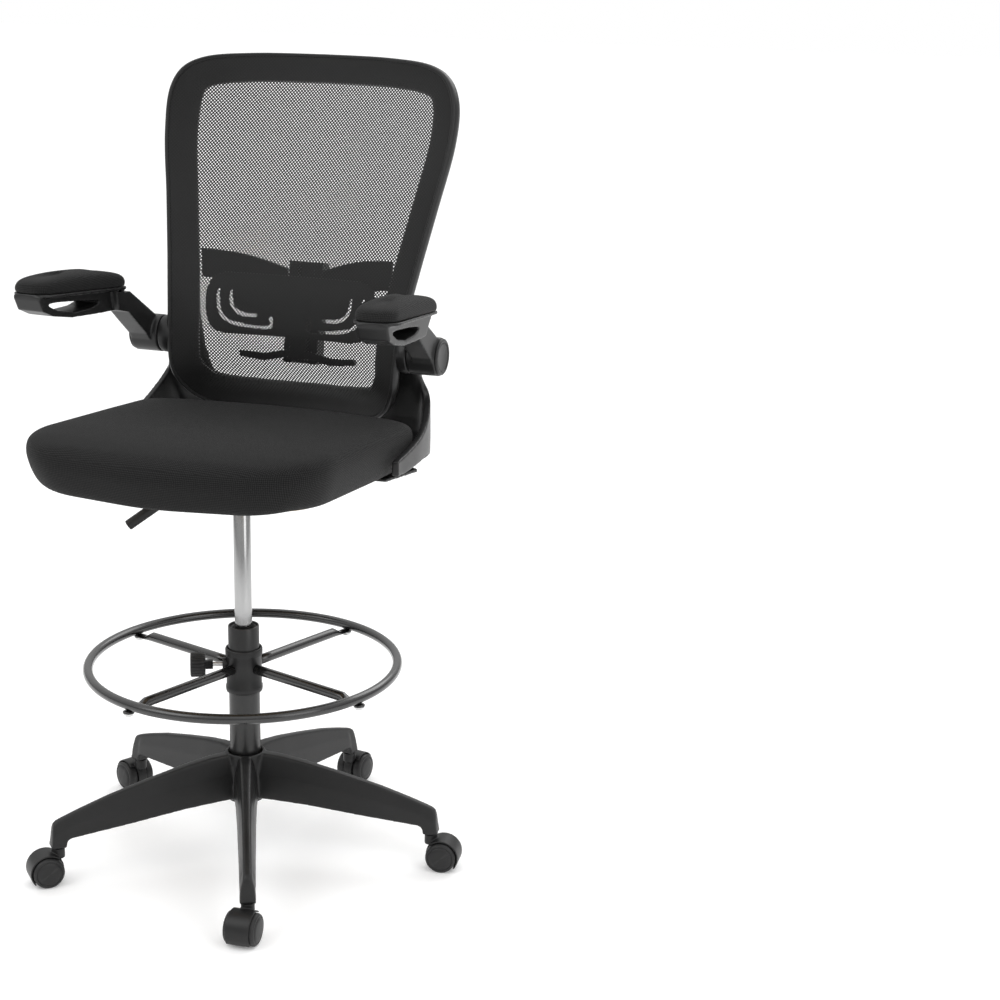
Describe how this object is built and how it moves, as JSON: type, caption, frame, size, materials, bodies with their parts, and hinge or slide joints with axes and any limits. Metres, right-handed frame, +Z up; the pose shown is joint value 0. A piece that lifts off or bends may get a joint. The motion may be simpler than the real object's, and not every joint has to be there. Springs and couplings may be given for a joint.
{
  "type": "drafting chair",
  "caption": "Drafting chair with a star base on twin-wheel casters, gas lift, sliding foot ring, padded seat, flip-up padded arms and a mesh back with lumbar pad.",
  "frame": {"origin": "on the floor, on the axis of the lift column", "axes": "+Z up; the chair faces -Y; +X is the sitter's left"},
  "size_m": [0.6896, 0.6901, 1.2757],
  "materials": {
    "base_plastic": "satin",
    "wheel_plastic": "matte",
    "bright_steel": "satin",
    "tube_black": "satin",
    "bushing_plastic": "matte",
    "piston_chrome": "polished",
    "ring_black": "gloss",
    "ring_plastic": "matte",
    "seat_fabric": "woven",
    "seat_board": "raw",
    "mechanism_black": "satin",
    "grip_plastic": "matte",
    "bracket_plastic": "satin",
    "arm_plastic": "satin",
    "cap_plastic": "satin",
    "pad_fabric": "woven",
    "frame_plastic": "satin",
    "back_mesh": "open mesh",
    "lumbar_plastic": "satin",
    "insert_plastic": "matte",
    "lumbar_pad": "satin"
  },
  "bodies": {
    "base": {"star_base": "base_plastic", "lift_outer_tube": "tube_black", "lift_bushing": "bushing_plastic"},
    "caster_1": {"caster_hood_1": "base_plastic", "caster_stem_1": "bright_steel", "caster_axle_1": "bright_steel"},
    "wheel_left_1": {"caster_wheel_left_1": "wheel_plastic"},
    "wheel_right_1": {"caster_wheel_right_1": "wheel_plastic"},
    "caster_2": {"caster_hood_2": "base_plastic", "caster_stem_2": "bright_steel", "caster_axle_2": "bright_steel"},
    "wheel_left_2": {"caster_wheel_left_2": "wheel_plastic"},
    "wheel_right_2": {"caster_wheel_right_2": "wheel_plastic"},
    "caster_3": {"caster_hood_3": "base_plastic", "caster_stem_3": "bright_steel", "caster_axle_3": "bright_steel"},
    "wheel_left_3": {"caster_wheel_left_3": "wheel_plastic"},
    "wheel_right_3": {"caster_wheel_right_3": "wheel_plastic"},
    "caster_4": {"caster_hood_4": "base_plastic", "caster_stem_4": "bright_steel", "caster_axle_4": "bright_steel"},
    "wheel_left_4": {"caster_wheel_left_4": "wheel_plastic"},
    "wheel_right_4": {"caster_wheel_right_4": "wheel_plastic"},
    "caster_5": {"caster_hood_5": "base_plastic", "caster_stem_5": "bright_steel", "caster_axle_5": "bright_steel"},
    "wheel_left_5": {"caster_wheel_left_5": "wheel_plastic"},
    "wheel_right_5": {"caster_wheel_right_5": "wheel_plastic"},
    "foot_ring": {"ring_hoop": "ring_black", "ring_spokes": "ring_black", "ring_collar": "ring_plastic", "ring_bolts": "bright_steel"},
    "ring_knob": {"ring_knob": "ring_plastic", "ring_knob_screw": "bright_steel"},
    "lift": {"lift_piston": "piston_chrome"},
    "lift_button": {"lift_button": "bushing_plastic"},
    "seat": {"seat_cushion": "seat_fabric", "seat_board": "seat_board", "seat_mechanism": "mechanism_black", "seat_bolts": "bright_steel", "arm_bracket_left": "bracket_plastic", "arm_bracket_right": "bracket_plastic", "arm_hinge_pins": "bright_steel", "bracket_plugs": "cap_plastic", "back_frame": "frame_plastic", "back_mesh": "back_mesh", "lumbar_crossbar": "frame_plastic", "lumbar_housing": "lumbar_plastic", "lumbar_insert": "insert_plastic"},
    "height_lever": {"height_lever": "mechanism_black", "height_lever_grip": "grip_plastic"},
    "arm_left": {"arm_left": "arm_plastic", "arm_cap_left": "cap_plastic", "arm_pad_left": "pad_fabric"},
    "arm_right": {"arm_right": "arm_plastic", "arm_cap_right": "cap_plastic", "arm_pad_right": "pad_fabric"},
    "lumbar": {"lumbar_pad": "lumbar_pad", "lumbar_slider": "lumbar_plastic", "lumbar_handle": "lumbar_plastic"}
  },
  "joints": [
    {"name": "caster_swivel_1", "type": "hinge", "parent": "base", "child": "caster_1", "pos_m": [0.30972, 0.04518, 0.05], "axis": [0, 0, 1], "continuous": true},
    {"name": "wheel_left_1_roll", "type": "hinge", "parent": "caster_1", "child": "wheel_left_1", "pos_m": [0.32951, 0.04807, 0.025], "axis": [-0.1444, 0.9895, 0], "continuous": true},
    {"name": "wheel_right_1_roll", "type": "hinge", "parent": "caster_1", "child": "wheel_right_1", "pos_m": [0.32951, 0.04807, 0.025], "axis": [-0.1444, 0.9895, 0], "continuous": true},
    {"name": "caster_swivel_2", "type": "hinge", "parent": "base", "child": "caster_2", "pos_m": [0.05274, 0.30852, 0.05], "axis": [0, 0, 1], "continuous": true},
    {"name": "wheel_left_2_roll", "type": "hinge", "parent": "caster_2", "child": "wheel_left_2", "pos_m": [0.05611, 0.32824, 0.025], "axis": [-0.9857, 0.1685, 0], "continuous": true},
    {"name": "wheel_right_2_roll", "type": "hinge", "parent": "caster_2", "child": "wheel_right_2", "pos_m": [0.05611, 0.32824, 0.025], "axis": [-0.9857, 0.1685, 0], "continuous": true},
    {"name": "caster_swivel_3", "type": "hinge", "parent": "base", "child": "caster_3", "pos_m": [-0.27713, 0.1455, 0.05], "axis": [0, 0, 1], "continuous": true},
    {"name": "wheel_left_3_roll", "type": "hinge", "parent": "caster_3", "child": "wheel_left_3", "pos_m": [-0.29484, 0.15479, 0.025], "axis": [-0.4648, -0.8854, 0], "continuous": true},
    {"name": "wheel_right_3_roll", "type": "hinge", "parent": "caster_3", "child": "wheel_right_3", "pos_m": [-0.29484, 0.15479, 0.025], "axis": [-0.4648, -0.8854, 0], "continuous": true},
    {"name": "caster_swivel_4", "type": "hinge", "parent": "base", "child": "caster_4", "pos_m": [-0.22401, -0.2186, 0.05], "axis": [0, 0, 1], "continuous": true},
    {"name": "wheel_left_4_roll", "type": "hinge", "parent": "caster_4", "child": "wheel_left_4", "pos_m": [-0.23833, -0.23257, 0.025], "axis": [0.6984, -0.7157, 0], "continuous": true},
    {"name": "wheel_right_4_roll", "type": "hinge", "parent": "caster_4", "child": "wheel_right_4", "pos_m": [-0.23833, -0.23257, 0.025], "axis": [0.6984, -0.7157, 0], "continuous": true},
    {"name": "caster_swivel_5", "type": "hinge", "parent": "base", "child": "caster_5", "pos_m": [0.13868, -0.2806, 0.05], "axis": [0, 0, 1], "continuous": true},
    {"name": "wheel_left_5_roll", "type": "hinge", "parent": "caster_5", "child": "wheel_left_5", "pos_m": [0.14018, -0.30054, 0.025], "axis": [0.9972, 0.075, 0], "continuous": true},
    {"name": "wheel_right_5_roll", "type": "hinge", "parent": "caster_5", "child": "wheel_right_5", "pos_m": [0.14018, -0.30054, 0.025], "axis": [0.9972, 0.075, 0], "continuous": true},
    {"name": "foot_ring_height", "type": "slide", "parent": "base", "child": "foot_ring", "axis": [0, 0, 1], "range_m": [-0.09, 0.03]},
    {"name": "ring_knob_turn", "type": "hinge", "parent": "foot_ring", "child": "ring_knob", "pos_m": [0, 0, 0.325], "axis": [-0.8965, -0.4431, 0], "range_deg": [-360, 0]},
    {"name": "seat_height", "type": "slide", "parent": "base", "child": "lift", "axis": [0, 0, 1], "range_m": [-0.15, 0.05]},
    {"name": "seat_swivel", "type": "hinge", "parent": "lift", "child": "seat", "pos_m": [0, 0, 0.6], "axis": [0, 0, 1], "continuous": true},
    {"name": "lift_button_press", "type": "slide", "parent": "lift", "child": "lift_button", "axis": [0, 0, -1], "range_m": [0, 0.0045]},
    {"name": "height_lever_pull", "type": "hinge", "parent": "seat", "child": "height_lever", "pos_m": [-0.04, 0, 0.633], "axis": [0, 1, 0], "range_deg": [0, 6], "stiffness_Nm_per_rad": 3, "springref_deg": -5.73},
    {"name": "arm_left_flip", "type": "hinge", "parent": "seat", "child": "arm_left", "pos_m": [0.245, 0.172, 0.821], "axis": [-1, 0, 0], "range_deg": [0, 58]},
    {"name": "arm_right_flip", "type": "hinge", "parent": "seat", "child": "arm_right", "pos_m": [-0.245, 0.172, 0.821], "axis": [-1, 0, 0], "range_deg": [0, 58]},
    {"name": "lumbar_height", "type": "slide", "parent": "seat", "child": "lumbar", "axis": [0, 0.1857, 0.9826], "range_m": [-0.02, 0.02]}
  ],
  "couplings": [
    {"joint": "lift_button_press", "follows": "height_lever_pull", "m_per_rad": 0.04}
  ]
}
